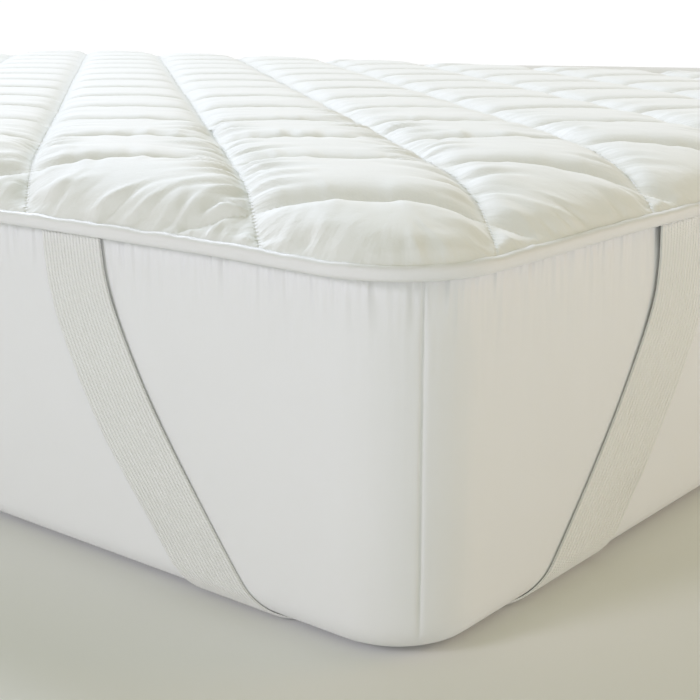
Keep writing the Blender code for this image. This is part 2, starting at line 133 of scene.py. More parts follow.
def drift(x, y, seed):
    """Smooth random heights from -1 to 1: a seeded table at whole places, eased between them."""
    table = np.random.default_rng(seed).uniform(-1, 1, (128, 128))
    x, y = np.broadcast_arrays(np.asarray(x, float), np.asarray(y, float))
    column, row = np.floor(x).astype(int), np.floor(y).astype(int)
    over, up = ease(x - column), ease(y - row)
    column, row, right, above = column & 127, row & 127, (column + 1) & 127, (row + 1) & 127
    low = table[column, row] * (1 - over) + table[right, row] * over
    high = table[column, above] * (1 - over) + table[right, above] * over
    return low * (1 - up) + high * up


def graded(low, high, finest, growth):
    """Lines from low to high, finest apart at low and growing evenly with the distance from it."""
    ratio = 1 + (high - low) / growth
    steps = math.ceil(growth / finest * math.log(ratio))
    return low + growth * (ratio ** (np.arange(steps + 1) / steps) - 1)


def even(inset, radius):
    """Rows for outlines that are inset and rounded alike along both sides."""
    inset, radius = np.broadcast_arrays(np.atleast_1d(np.asarray(inset, float)), radius)
    return np.stack([inset, inset, radius, radius], -1)


def hem_row(inset):
    """Outlines near the walls, with round corners on one centre outside them."""
    inset = np.asarray(inset, float)
    return even(inset, CORNER_RADIUS - np.minimum(inset, 0))


def shoulder_row(share, radius_x, radius_y):
    """Outlines at shares of the shoulder, with corner radii that go from the walls' own."""
    share = np.atleast_1d(np.asarray(share, float))
    return np.stack([FILLET_INSET + SHOULDER_X * share, FILLET_INSET + SHOULDER_Y * share,
                     CORNER_RADIUS + (radius_x - CORNER_RADIUS) * share,
                     CORNER_RADIUS + (radius_y - CORNER_RADIUS) * share], -1)


def level_row(share):
    """The lines of one height on the shoulder."""
    return shoulder_row(share, TOP_RADIUS_X, TOP_RADIUS_Y)


def edge_inset(x, y):
    """How far each point lies in from the outline: from the nearer wall, or the corner's circle."""
    from_x, from_y = WIDTH / 2 - np.abs(x), LENGTH / 2 - np.abs(y)
    corner = CORNER_RADIUS - np.hypot(CORNER_RADIUS - from_x, CORNER_RADIUS - from_y)
    return np.where(np.maximum(from_x, from_y) < CORNER_RADIUS, corner, np.minimum(from_x, from_y))


def edge_run(x, y):
    """Distance along the outline of its nearest point, anticlockwise from the right side's foot.

    On a side it is the straight distance, and in a corner the angle about its centre times
    the radius.
    """
    half_x, half_y = WIDTH / 2 - CORNER_RADIUS, LENGTH / 2 - CORNER_RADIUS
    quarter = CORNER_RADIUS * math.pi / 2
    over_x, over_y = np.abs(x) - half_x, np.abs(y) - half_y
    head, foot = 2 * half_y + quarter, 4 * half_y + 2 * half_x + 3 * quarter
    left = head + 2 * half_x + quarter
    side = np.where(x > 0, y + half_y, left + half_y - y)
    end = np.where(y > 0, head + half_x - x, foot + half_x + x)
    turn = CORNER_RADIUS * np.arctan2(np.maximum(over_y, 0), np.maximum(over_x, 1e-9))
    turn = np.where(x * y > 0, turn, quarter - turn)
    start = np.where(y > 0, np.where(x > 0, head - quarter, left - quarter),
                     np.where(x > 0, foot + 2 * half_x, foot - quarter))
    in_corner = (over_x > 0) & (over_y > 0)
    return np.where(in_corner, start + turn, np.where(over_x > over_y, side, end))


def shoulder_share(x, y):
    """The share of the shoulder at each point, by halving: 0 at the walls, 1 where it is level.

    A point is inside a share's line when it is past both straight insets, or in the corner's
    ellipse: the squares of how far it is beyond each centre, over the radii, add to 1 or less.
    """
    from_x, from_y = WIDTH / 2 - np.abs(x), LENGTH / 2 - np.abs(y)
    low, high = np.zeros(from_x.shape), np.ones(from_x.shape)
    for _ in range(SHARE_HALVINGS):
        share = (low + high) / 2
        inset_x, inset_y, radius_x, radius_y = np.moveaxis(level_row(share), -1, 0)
        beyond_x = np.maximum(inset_x + radius_x - from_x, 0) / radius_x
        beyond_y = np.maximum(inset_y + radius_y - from_y, 0) / radius_y
        inside = beyond_x**2 + beyond_y**2 <= 1
        low, high = np.where(inside, share, low), np.where(inside, high, share)
    return (low + high) / 2


def shoulder_height(share):
    """Height of the mattress's top: a cubic shoulder that levels out away from the walls."""
    return HEIGHT - SHOULDER_RISE * (1 - share) ** 3


def side_places(lines, half, straight, end_steps):
    """Places along a straight side for each row: the core's lines, and on from them to the arcs.

    Where the corners leave less straight side than the core has, the core's lines draw together.
    """
    reach = np.minimum(half, straight)
    low, high = (reach + (straight - reach) * np.arange(steps) / steps for steps in end_steps)
    return np.concatenate([-low[:, ::-1], lines[1:-1] * reach / half, high], 1)


def round_outline(rows, lines, end_steps, arcs):
    """Rounded rectangles, one for each row: straight sides on the given lines, and arcs.

    The sides are the wall planes moved in by the row's insets, and each corner is a quarter
    ellipse of its radii at the given shares of a turn. Anticlockwise from the right side.
    """
    inset_x, inset_y, radius_x, radius_y = (column[:, None] for column in rows.T)
    half_x, half_y = WIDTH / 2 - inset_x, LENGTH / 2 - inset_y
    places_x = side_places(lines[0], CORE_X, half_x - radius_x, end_steps[0])
    places_y = side_places(lines[1], CORE_Y, half_y - radius_y, end_steps[1])
    columns_x, columns_y = [], []
    for turn, (side_x, side_y) in enumerate(((1, 1), (-1, 1), (-1, -1), (1, -1))):
        if turn % 2 == 0:
            columns_x.append(side_x * half_x + 0 * places_y)
            columns_y.append(places_y[:, ::side_x])
        else:
            columns_x.append(places_x[:, ::-side_y])
            columns_y.append(side_y * half_y + 0 * places_x)
        angle = (turn + arcs[turn]) * math.pi / 2
        columns_x.append(side_x * (half_x - radius_x) + radius_x * np.cos(angle))
        columns_y.append(side_y * (half_y - radius_y) + radius_y * np.sin(angle))
    return np.concatenate(columns_x, 1), np.concatenate(columns_y, 1)


def arc_shares(steps):
    """Even shares of a quarter turn for each corner."""
    return [np.arange(count + 1) / count for count in steps]


def along_outline(x, y):
    """Distance run along a closed row of points, from the first of them."""
    step = np.hypot(np.diff(x, append=x[:1]), np.diff(y, append=y[:1]))
    return np.concatenate([[0.0], np.cumsum(step)[:-1]])


def cloth_object(name, points, faces, maps, finish):
    """An object with its place in its mesh, from points, arrays of faces and per-point maps."""
    mesh = bpy.data.meshes.new(name)
    corners = np.concatenate([part.ravel() for part in faces])
    sizes = np.concatenate([np.full(len(part), part.shape[1]) for part in faces])
    mesh.vertices.add(len(points))
    mesh.vertices.foreach_set("co", np.asarray(points, np.float32).ravel())
    mesh.loops.add(len(corners))
    mesh.loops.foreach_set("vertex_index", corners.astype(np.int32))
    mesh.polygons.add(len(sizes))
    starts = np.concatenate([[0], np.cumsum(sizes)[:-1]])
    mesh.polygons.foreach_set("loop_start", starts.astype(np.int32))
    for map_name, values in maps.items():
        layer = mesh.uv_layers.new(name=map_name)
        layer.uv.foreach_set("vector", np.asarray(values, np.float32)[corners].ravel())
    mesh.update(calc_edges=True)
    mesh.validate()
    mesh.shade_smooth()
    mesh.materials.append(finish)
    item = bpy.data.objects.new(name, mesh)
    bpy.context.scene.collection.objects.link(item)
    return item


def band_faces(rows, columns, start=0, closed_rows=False, closed_columns=True):
    """Quads over a grid of points kept row by row, wrapped round where it is closed."""
    row = np.arange(rows if closed_rows else rows - 1)
    column = np.arange(columns if closed_columns else columns - 1)
    near, side = np.meshgrid(row, column, indexing="ij")
    far, after = (near + 1) % rows, (side + 1) % columns
    quads = np.stack([near * columns + side, near * columns + after,
                      far * columns + after, far * columns + side], -1)
    return quads.reshape(-1, 4) + start


def split_faces(quads):
    """Quads of four different points, and triangles from those where two points are one."""
    same = quads == np.roll(quads, -1, axis=1)
    whole = quads[~same.any(1)]
    pinched = quads[same.sum(1) == 1]
    keep = ~same[same.sum(1) == 1]
    return [whole, pinched[keep].reshape(-1, 3)] if len(pinched) else [whole]


# Quilted panel


def quilt_phases(x, y):
    """Seam counts at each point, as in the part, with a slow wander that real stitching has."""
    along, across = y + OUTER_Y, x + OUTER_X
    pull = np.exp(-along / FOOT_PULL_REACH)
    wander_a = SEAM_WANDER * drift(x / WANDER_A, y / WANDER_A, 11)
    wander_b = SEAM_WANDER * drift(x / WANDER_B, y / WANDER_B, 12)
    phase_a = along / SEAMS_A[0] - across / SEAMS_A[1] + SEAMS_A[2] + FOOT_PULL_A * pull + wander_a
    phase_b = along / SEAMS_B[0] + across / SEAMS_B[1] + SEAMS_B[2] + FOOT_PULL_B * pull + wander_b
    return phase_a, phase_b


def seam_rise(phase, gap):
    """How far a puff has risen beside a seam: the tanh of the distance over its rounding."""
    return np.tanh(np.abs(phase - np.round(phase)) * gap / PUFF_ROUNDING)


def fine_enough(wavelength, step):
    """1 where the mesh step can carry a wavelength, easing to 0 where it can't."""
    return ease((wavelength / step - 2.2) / 2.0)


def seam_gathers(phase, other, family, step, seed):
    """Gathers across one family of seams.

    Each layer is noise along the seam, drawn out away from it, times a rise from nothing at
    the stitches and a power of the cosine that is 1 on the seam and 0 halfway to the next.
    """
    seam = np.round(phase)
    off = (phase - seam) * family[0]
    run = other * family[1] + GATHER_LEAN * np.abs(off) * drift(other * 3.1, seam * 5.7, seed + 50)
    height = 0.0
    for layer, (wavelength, tall, keeping) in enumerate(SEAM_GATHERS):
        away = off / (GATHER_LENGTH * wavelength) + seam * 9.3
        ridge = drift(run / (0.5 * wavelength), away, seed + layer)
        rise = 1 - np.exp(-np.abs(off) / (GATHER_RISE * wavelength))
        reach = np.abs(np.cos(math.pi * phase)) ** (2 * keeping)
        height = height + tall * ridge * rise * reach * fine_enough(wavelength, step)
    return height


def puff_folds(phase_a, phase_b, step):
    """Long soft folds along the second family of seams: noise that is stretched along them."""
    height = 0.0
    bend = 0.012 * drift(phase_a * 1.3, phase_b * 1.3, 61)
    for layer, (wavelength, length, tall) in enumerate(PUFF_FOLDS):
        along = phase_a * FAMILY_B[1] / (0.5 * length)
        across = (phase_b * FAMILY_B[0] + bend) / (0.5 * wavelength)
        height = height + tall * drift(along, across, 62 + layer) * fine_enough(wavelength, step)
    return height


def tucks(phase_a, phase_b, step):
    """A small pinched fold beside each crossing: a lip along the seam, with a crease behind it.

    Lip and creases are Gaussians across the seam, over an arch that is a sine along it, with an
    eased window. Each crossing has its own length and depth from a seeded table.
    """
    cell_a, cell_b = np.floor(phase_a + 0.12), np.round(phase_b)
    along = (phase_a - cell_a) * FAMILY_B[1]
    across = (phase_b - cell_b) * FAMILY_B[0]
    own = 0.5 + 0.5 * drift(cell_a + 0.5, cell_b + 0.5, 71)
    side = drift(cell_a * 0.93 + 0.5, cell_b * 0.87 + 0.5, 72)
    length = TUCK_LENGTH + TUCK_LONGER * own
    window = ease((along + 0.002) / 0.010) * (1 - ease((along - 0.45 * length) / (0.6 * length)))
    arch = ARCH_ENDS + ARCH_MIDDLE * np.sin(np.clip(along / length, 0, 1) * math.pi) + ARCH_VARIETY * side
    lip = LIP_HEIGHT * bell(across - 0.55 * arch, 0.42 * arch)
    crease = CREASE_DEPTH * bell(across - 1.1 * arch, CREASE_WIDTH)
    back_crease = BACK_CREASE_DEPTH * bell(across + 0.9 * arch, BACK_CREASE_WIDTH) * (side > 0)
    return (lip - crease - back_crease) * window * (0.35 + 0.65 * own) * fine_enough(0.010, step)


def edge_gathers(run, inset, step):
    """Gathers at the binding: noise along the edge that rises just inside it and dies away.

    The noise leans by two slower noises, rises with an eased step, and dies away as the
    exponential of minus a power of the distance over a reach that varies along the edge.
    """
    inside = np.clip(inset - HEM_TOP_INSET, 0, None)
    lean = LEAN_SLOW * drift(run / LEAN_SLOW_LENGTH, 0.0, 81)
    lean = lean + LEAN_FINE * drift(run / LEAN_FINE_LENGTH, inside / LEAN_FINE_INWARD, 82)
    height = 0.0
    for layer, (wavelength, tall, reach) in enumerate(EDGE_GATHERS):
        own = REACH_BASE + REACH_VARIETY * drift(run / REACH_LENGTH, layer, 83)
        own = own + REACH_OWN * drift(run / (1.3 * wavelength), layer, 87)
        place = (run + lean * inside) / (0.5 * wavelength)
        ridge = drift(place, inside / (1.6 * reach), 84 + layer)
        rise = ease(inside / (0.35 * wavelength))
        fall = np.exp(-((inside / (reach * own)) ** 1.5))
        height = height + tall * ridge * rise * fall * fine_enough(wavelength, step)
    return height


def panel_top(x, y, step, ring_step):
    """Height of the quilting: shoulder, seams and puffs as in the part, and the cloth's folds.

    A puff is the product of both families' rise from their seams, with a low crown, and fades
    to the rim as the tanh of the distance. The hem's slanted plane gives way to the quilting
    as one less a falling exponential.
    """
    inset, level = edge_inset(x, y), shoulder_height(shoulder_share(x, y)) + REST_GAP
    phase_a, phase_b = quilt_phases(x, y)
    sine_a, sine_b = np.abs(np.sin(math.pi * phase_a)), np.abs(np.sin(math.pi * phase_b))
    fade = np.tanh(np.maximum(inset - HEM_TOP_INSET, 0) / EDGE_ROUNDING)
    fullness = 1 + PUFF_VARIETY * drift(np.floor(phase_a) + 0.5, np.floor(phase_b) + 0.5, 21)
    plump = 1 + EDGE_PLUMPNESS * np.exp(-np.maximum(inset, 0) / EDGE_PLUMP_REACH)
    puff = PUFF_HEIGHT * plump * fullness * fade * (PUFF_BASE + PUFF_CROWN * sine_a)
    puff = puff * seam_rise(phase_a, FAMILY_A[0]) * seam_rise(phase_b, FAMILY_B[0])
    held = (sine_a * sine_b) ** 0.35
    folds = seam_gathers(phase_a, phase_b, FAMILY_A, step, 30) * sine_b**0.9
    folds = folds + 0.35 * seam_gathers(phase_b, phase_a, FAMILY_B, step, 40) * sine_a**0.5
    folds = folds + puff_folds(phase_a, phase_b, step) * held + tucks(phase_a, phase_b, step)
    folds = folds * ease((inset - HEM_TOP_INSET) / FOLDS_FROM_HEM)
    folds = folds + edge_gathers(edge_run(x, y), inset, ring_step) * (0.45 + 0.55 * held)
    hem = BINDING_Z + (inset + BINDING_OUT) * math.tan(HEM_TILT) + HEM_HALF / math.cos(HEM_TILT)
    share = 1 - np.exp(-np.maximum(inset - HEM_FREE_INSET, 0) / HEM_BLEND)
    top = hem + (level + SEAM_THICKNESS + puff + folds - hem) * share
    return np.maximum(top, np.where(inset > RIM_WIDTH, level + LEAST_THICKNESS, -1.0))


def make_panel(finish):
    """The quilted panel as one closed shell.

    A rectangle of graded lines makes the level core. Rounded outlines at falling insets carry
    it down to the hem, turn under it, and come back on the mattress to one closing face.
    """
    lines_x = graded(-CORE_X, CORE_X, CORE_STEP_X, CORE_GROWTH)
    lines_y = graded(-CORE_Y, CORE_Y, CORE_STEP_Y, CORE_GROWTH)
    count_x, count_y = len(lines_x), len(lines_y)
    grid_x, grid_y = np.meshgrid(lines_x, lines_y, indexing="ij")
    step = np.maximum(np.gradient(lines_x)[:, None], np.gradient(lines_y)[None, :])
    height = panel_top(grid_x, grid_y, step, 1.0)
    core = np.stack([grid_x, grid_y, height], -1).reshape(-1, 3)
    core_at = np.arange(count_x * count_y).reshape(count_x, count_y)
    core_quads = np.stack([core_at[:-1, :-1], core_at[1:, :-1], core_at[1:, 1:], core_at[:-1, 1:]], -1)

    rings = graded(HEM_TOP_INSET, FILLET_INSET + SHOULDER_X, RIM_STEP, RIM_GROWTH)[-2::-1]
    shares = (rings[rings > FILLET_INSET] - FILLET_INSET) / SHOULDER_X
    upper = np.concatenate([shoulder_row(shares, 0.0, 0.0), hem_row(rings[rings <= FILLET_INSET])])
    arcs = arc_shares(ARC_STEPS)
    rim_x, rim_y = round_outline(upper, (lines_x, lines_y), PANEL_ENDS, arcs)
    around = np.hypot(np.diff(rim_x, axis=1, append=rim_x[:, :1]),
                      np.diff(rim_y, axis=1, append=rim_y[:, :1]))
    around = 0.5 * (around + np.roll(around, 1, axis=1))
    inward = np.hypot(np.gradient(rim_x, axis=0), np.gradient(rim_y, axis=0))
    rim_z = panel_top(rim_x, rim_y, np.maximum(around, inward), around)

    low_insets, low_shares = np.array([HEM_LOW_INSET, HEM_UNDER_INSET]), np.array(UNDER_SHARES)
    under = np.concatenate([hem_row(low_insets), level_row(low_shares)])
    under_x, under_y = round_outline(under, (lines_x, lines_y), PANEL_ENDS, arcs)
    hem_low = BINDING_Z + (low_insets + BINDING_OUT) * math.tan(HEM_TILT) - HEM_HALF / math.cos(HEM_TILT)
    under_z = np.concatenate([hem_low, shoulder_height(low_shares) + REST_GAP])[:, None] + 0 * under_x

    sides = (core_at[-1, :], core_at[::-1, -1], core_at[0, ::-1], core_at[:, 0])
    (left, right), (foot, head) = PANEL_ENDS
    edge = []
    for turn, (before, after) in enumerate(((foot, head), (right, left), (head, foot), (left, right))):
        edge += [np.full(before, sides[turn][0]), sides[turn][1:-1],
                 np.full(after + len(arcs[turn]), sides[turn][-1])]
    edge = np.concatenate(edge)
    stations = len(edge)
    levels = len(rim_x) + len(under_x)
    index = np.concatenate([edge[None, :], len(core) + np.arange(levels * stations).reshape(levels, -1)])
    after = np.roll(index, -1, axis=1)
    quads = np.stack([index[:-1], index[1:], after[1:], after[:-1]], -1).reshape(-1, 4)
    outer = [np.concatenate(parts) for parts in ((rim_x, under_x), (rim_y, under_y), (rim_z, under_z))]
    points = np.concatenate([core, np.stack(outer, -1).reshape(-1, 3)])
    closing = [index[-1][::-1][None, :]]
    flat_x, flat_y = points[:, 0], points[:, 1]
    maps = {"quilt": np.stack(quilt_phases(flat_x, flat_y), -1),
            "edge": np.stack([edge_run(flat_x, flat_y), edge_inset(flat_x, flat_y)], -1)}
    faces = [core_quads.reshape(-1, 4), *split_faces(quads), *closing]
    return cloth_object("quilted_cover_and_filling", points, faces, maps, finish)


# Binding


# The tape: thickness, half of the angle that its roll leaves open, and mesh steps
TAPE_THICKNESS = 0.0009
TAPE_MOUTH = math.radians(34)
TAPE_OUTER_STEPS, TAPE_INNER_STEPS = 26, 14
TAPE_STEP, TAPE_GROWTH, TAPE_ARC_STEPS = 0.0032, 0.5, (16, 16, 40, 16)
# Power of the section's superellipse, a little squarer than a plain one
TAPE_SQUARENESS = 2.6
# Noises along it, height and length: a fine and a wide ripple of its upper side, and its sway
FINE_RIPPLE, WIDE_RIPPLE, TAPE_SWAY = (0.00030, 0.0055), (0.00045, 0.016), (0.0008, 0.12)


def tape_section():
    """The folded tape's section: most of a rounded roll, out along it and back on the inside."""
    inward = math.pi - HEM_TILT

    def turned(share):
        """The angle at a share of the way round the roll, from one side of its mouth to the other."""
        return inward + TAPE_MOUTH + 2 * (math.pi - TAPE_MOUTH) * share

    def roll(shrink, angle):
        """A superellipse: the cosine and sine over the root of the sum of their powers."""
        powers = np.abs(np.cos(angle)) ** TAPE_SQUARENESS + np.abs(np.sin(angle)) ** TAPE_SQUARENESS
        squarer = powers ** (-1 / TAPE_SQUARENESS)
        return np.stack([(BINDING_HALF_WIDTH - shrink) * squarer * np.cos(angle),
                         (BINDING_HALF_HEIGHT - shrink) * squarer * np.sin(angle)], -1)

    outer = turned(np.arange(TAPE_OUTER_STEPS + 1) / TAPE_OUTER_STEPS)
    inner = turned(np.arange(TAPE_INNER_STEPS + 1)[::-1] / TAPE_INNER_STEPS)
    return np.concatenate([roll(0.0, outer), roll(TAPE_THICKNESS, inner)]), np.concatenate([outer, inner])


def make_binding(finish):
    """The binding: the folded tape's section carried round the panel's outline.

    Its upper side ripples by two noises along it, and the whole of it sways by a slower one.
    """
    section, angle = tape_section()
    lines = [graded(-half, half, TAPE_STEP, TAPE_GROWTH) for half in (CORE_X, CORE_Y)]
    arcs = arc_shares(TAPE_ARC_STEPS)
    base_x, base_y = round_outline(hem_row(-BINDING_OUT), lines, TAPE_ENDS, arcs)
    run = along_outline(base_x[0], base_y[0])
    rim_x, rim_y = round_outline(hem_row(-(BINDING_OUT + section[:, 0])), lines, TAPE_ENDS, arcs)
    upper = np.clip(np.sin(angle), 0, 1)[:, None] ** 2
    height = BINDING_Z + section[:, 1:2] + 0 * rim_x

    def uneven(size, seed):
        """A noise along the tape with this height and length."""
        return size[0] * drift(run / size[1], 0.0, seed)

    ripple = uneven(FINE_RIPPLE, 91) + uneven(WIDE_RIPPLE, 92)
    height = height + (ripple * upper) + uneven(TAPE_SWAY, 93)
    turn = np.concatenate([[0], np.cumsum(np.hypot(*np.diff(section, axis=0).T))])
    maps = {"tape": np.stack([np.tile(run, len(section)), np.repeat(turn, len(run))], -1)}
    points = np.stack([rim_x, rim_y, height], -1).reshape(-1, 3)
    faces = [band_faces(len(section), len(run), closed_rows=True)]
    return cloth_object("folded_binding_tape", points, faces, maps, finish)


# Mattress


# Seam of the cover in each corner: its place in the quarter turn, depth and width, the mesh's
# lines beside it, and the height, wavelength and reach of its puckers
COVER_SEAM_SHARE, COVER_SEAM_DEPTH, COVER_SEAM_WIDTH = 0.563, 0.0014, 0.0012
COVER_SEAM_LINES = np.array((0.001, 0.002, 0.0035, 0.006, 0.010, 0.018, 0.03, 0.05))
COVER_PUCKERS = (0.00020, 0.007, 0.006)
# Slack of the cover: depth of the gathers under the binding, how far down they go, and the
# soft unevenness of the walls
WALL_GATHERS, WALL_GATHERS_DOWN, WALL_SLACK = 0.0006, 0.060, 0.0006
# Lengths of their noises, along the wall and up it: finer gathers, wider gathers, unevenness
FINE_GATHERS_SIZE, WIDE_GATHERS_SIZE, SLACK_SIZE = (0.0085, 0.10), (0.016, 0.14), (0.16, 0.11)
# Share of the finer gathers, and the patches of all: even part, how much they vary, and length
FINE_GATHERS_SHARE, PATCH_BASE, PATCH_VARIETY, PATCH_LENGTH = 0.45, 0.6, 0.4, 0.09
# The height that the walls' relief starts from, and how soon it comes in and goes out
RELIEF_FROM, RELIEF_IN, RELIEF_OUT = 0.004, 0.03, 0.008
# Steps of the cover's mesh: along its sides, round a corner, up its profile, and on its top
COVER_STEP, COVER_GROWTH, COVER_ARC_STEPS = 0.0040, 0.35, 18
COVER_BOTTOM_STEPS, COVER_FILLET_STEPS, COVER_WALL_STEPS = 8, 6, 33
COVER_SHARES = np.array((0.05, 0.11, 0.18, 0.26, 0.36, 0.46, 0.58, 0.7, 0.85, 1.0))


def wall_relief(run, height):
    """How far the cover stands in from its plane: slack gathers at the top and a soft unevenness.

    The gathers are two noises along the wall, in patches, times the exponential of minus a
    power of the depth below its top. The unevenness is one slow noise over the whole wall.
    """
    top = np.clip((WALL_TOP - height) / WALL_GATHERS_DOWN, 0, None)
    patchy = PATCH_BASE + PATCH_VARIETY * drift(run / PATCH_LENGTH, 0.0, 101)
    fine = drift(run / FINE_GATHERS_SIZE[0], height / FINE_GATHERS_SIZE[1], 102)
    wide = drift(run / WIDE_GATHERS_SIZE[0], height / WIDE_GATHERS_SIZE[1], 103)
    gathers = fine * FINE_GATHERS_SHARE + wide
    soft = drift(run / SLACK_SIZE[0], height / SLACK_SIZE[1], 104)
    return WALL_GATHERS * (1.3 + gathers) * patchy * np.exp(-(top**1.6)) + WALL_SLACK * (1 + soft)


def make_mattress(finish):
    """The plain mattress: its profile carried round the outline, with a sewn seam at each corner.

    The profile is a low flat foot, a quarter circle, a straight wall, a fillet's arc and the
    cubic shoulder. The relief and the seam's Gaussian groove with its puckers move the walls
    in along their normals.
    """
    bottom = np.arange(COVER_BOTTOM_STEPS + 1) / COVER_BOTTOM_STEPS * math.pi / 2
    fillet = np.arange(COVER_FILLET_STEPS + 1) / COVER_FILLET_STEPS * FILLET_SWEEP
    wall = np.linspace(FOOT_LIFT + BOTTOM_RADIUS, WALL_TOP, COVER_WALL_STEPS + 1)[1:-1]
    bottom_inset = BOTTOM_RADIUS * (1 - np.sin(bottom))
    fillet_inset = FILLET_RADIUS * (1 - np.cos(fillet))
    outlines = np.concatenate([even([FOOT_INSET + FOOT_STEP, FOOT_INSET], FOOT_CORNER_RADIUS),
                               even(bottom_inset, CORNER_RADIUS - bottom_inset),
                               even(0 * wall, CORNER_RADIUS), even(fillet_inset, CORNER_RADIUS),
                               level_row(COVER_SHARES)])
    height = np.concatenate([[0.0, FOOT_LIFT], FOOT_LIFT + BOTTOM_RADIUS * (1 - np.cos(bottom)), wall,
                             WALL_TOP + FILLET_RADIUS * np.sin(fillet), shoulder_height(COVER_SHARES)])
    near = np.concatenate([-COVER_SEAM_LINES[::-1], [0.0], COVER_SEAM_LINES])
    arcs = []
    for turn in range(4):
        seam = COVER_SEAM_SHARE if turn % 2 == 0 else 1 - COVER_SEAM_SHARE
        fine = seam + near / (CORNER_RADIUS * math.pi / 2)
        steps = np.concatenate([np.linspace(0, 1, COVER_ARC_STEPS + 1), fine[(fine > 0) & (fine < 1)]])
        arcs.append(np.unique(steps.round(6)))
    lines = [graded(-half, half, COVER_STEP, COVER_GROWTH) for half in (CORE_X, CORE_Y)]
    plain_x, plain_y = round_outline(outlines, lines, COVER_ENDS, arcs)
    wall_x, wall_y = round_outline(hem_row(0.0), lines, COVER_ENDS, arcs)
    run = along_outline(wall_x[0], wall_y[0])
    from_seam, first = np.full(len(run), 1.0), 0
    for turn in range(4):
        first += len(lines[1 - turn % 2]) - 2 + sum(COVER_ENDS[1 - turn % 2])
        seam = COVER_SEAM_SHARE if turn % 2 == 0 else 1 - COVER_SEAM_SHARE
        from_seam[first:first + len(arcs[turn])] = (arcs[turn] - seam) * CORNER_RADIUS * math.pi / 2
        first += len(arcs[turn])
    deep = wall_relief(run[None, :], height[:, None])
    groove = COVER_SEAM_DEPTH * bell(from_seam, COVER_SEAM_WIDTH)
    tall, wavelength, reach = COVER_PUCKERS
    pucker = tall * drift(height[:, None] / wavelength, np.sign(from_seam)[None, :] * 3.3, 105)
    pucker = pucker * np.exp(-np.abs(from_seam) / reach)[None, :]
    walls = ease((height - RELIEF_FROM) / RELIEF_IN) * (1 - ease((height - WALL_TOP) / RELIEF_OUT))
    deep = (deep + (groove[None, :] + pucker)) * walls[:, None]
    out_x = np.where(np.abs(wall_x) > WIDTH / 2 - 1e-9, np.sign(wall_x), 0.0)
    out_y = np.where(np.abs(wall_y) > LENGTH / 2 - 1e-9, np.sign(wall_y), 0.0)
    centre_x = np.sign(wall_x) * (WIDTH / 2 - CORNER_RADIUS)
    centre_y = np.sign(wall_y) * (LENGTH / 2 - CORNER_RADIUS)
    in_arc = (np.abs(wall_x) > WIDTH / 2 - CORNER_RADIUS) & (np.abs(wall_y) > LENGTH / 2 - CORNER_RADIUS)
    out_x = np.where(in_arc, (wall_x - centre_x) / CORNER_RADIUS, out_x)
    out_y = np.where(in_arc, (wall_y - centre_y) / CORNER_RADIUS, out_y)
    points = np.stack([plain_x - out_x * deep, plain_y - out_y * deep, height[:, None] + 0 * plain_x], -1)
    rows, columns = plain_x.shape
    top = np.arange(columns) + (rows - 1) * columns
    faces = [band_faces(rows, columns), np.arange(columns)[::-1][None, :], top[None, :]]
    maps = {"cover": np.stack([np.tile(run, rows), np.repeat(height, columns)], -1)}
    return cloth_object("mattress_with_cover", points.reshape(-1, 3), faces, maps, finish)


# Straps


STRAP_WIDTH, STRAP_LENGTH, STRAP_THICKNESS, STRAP_GAP = 0.061, 0.744, 0.0015, 0.0005
STRAP_FLARE, SEWN_IN = 0.020, 0.0012
# Route of a strap's middle, unfolded, as in the part: from the long side, from the short side,
# and the band's width there
STRAP_ROUTE = np.array((
    (-0.2138, 0.2755, 0.056), (-0.1840, 0.2718, 0.056), (-0.1500, 0.2592, 0.055),
    (-0.1050, 0.2344, 0.054), (-0.0550, 0.1970, 0.050), (0.0000, 0.1530, 0.049),
    (0.0600, 0.1010, 0.053), (0.1180, 0.0510, 0.058), (0.1760, 0.0000, 0.062),
    (0.2260, -0.0515, 0.066), (0.2670, -0.1000, 0.070), (0.2985, -0.1470, 0.075),
    (0.3075, -0.1830, 0.077), (0.3060, -0.2138, 0.078),
))
# Samples between its points, the least run that a fold's skew is divided by, and the distances
# inward that a fold goes from and to, and the distance that it fades over
ROUTE_SAMPLES = 40
LEAST_RUN, FOLD_FROM, FOLD_TO, FOLD_FADE = 0.3, -0.020, 0.030, 0.055
# The band's mesh, its ribs, and the width over which its edges round off
STRAP_STATIONS = 190
RIBS, RIB_COLUMNS, RIB_HEIGHT = 18, 5, 0.0004
BACK_COLUMNS, STRAP_EDGE = 8, 0.0012
# How far the edge towards the corner and the top stand off the wall, and the band's slack
EDGE_LIFT, STAND_OFF, STRAP_SLACK, SLACK_LENGTH = 0.0004, 0.0004, 0.0003, 0.05
# Lift and slack start this far up past the bottom edge, unfolded, and come in over this distance
SLACK_FROM, SLACK_IN = 0.02, 0.06
# The edge lifts from this share of the width past the middle, over this share, and it lies down
# again from this far up, over this distance
LIFT_FROM, LIFT_IN, LIFT_UNTIL, LIFT_OUT = 0.10, 0.40, 0.16, 0.05


def smooth_route():
    """The route as a Catmull-Rom curve, then taken at even distances along it."""
    ends = np.concatenate([STRAP_ROUTE[:1], STRAP_ROUTE, STRAP_ROUTE[-1:]])
    before, start, end, after = (ends[i:len(ends) - 3 + i][:, None, :] for i in range(4))
    t = (np.arange(ROUTE_SAMPLES) / ROUTE_SAMPLES)[None, :, None]
    curve = 0.5 * (2 * start + (end - before) * t + (2 * before - 5 * start + 4 * end - after) * t**2
                   + (3 * start - before - 3 * end + after) * t**3)
    curve = np.concatenate([curve.reshape(-1, 3), STRAP_ROUTE[-1:]])
    length = np.concatenate([[0], np.cumsum(np.hypot(*np.diff(curve[:, :2], axis=0).T))])
    places = np.linspace(0, length[-1], STRAP_STATIONS)
    picked = np.stack([np.interp(places, length, column) for column in curve.T], -1)
    return picked[:, :2], picked[:, 2], places


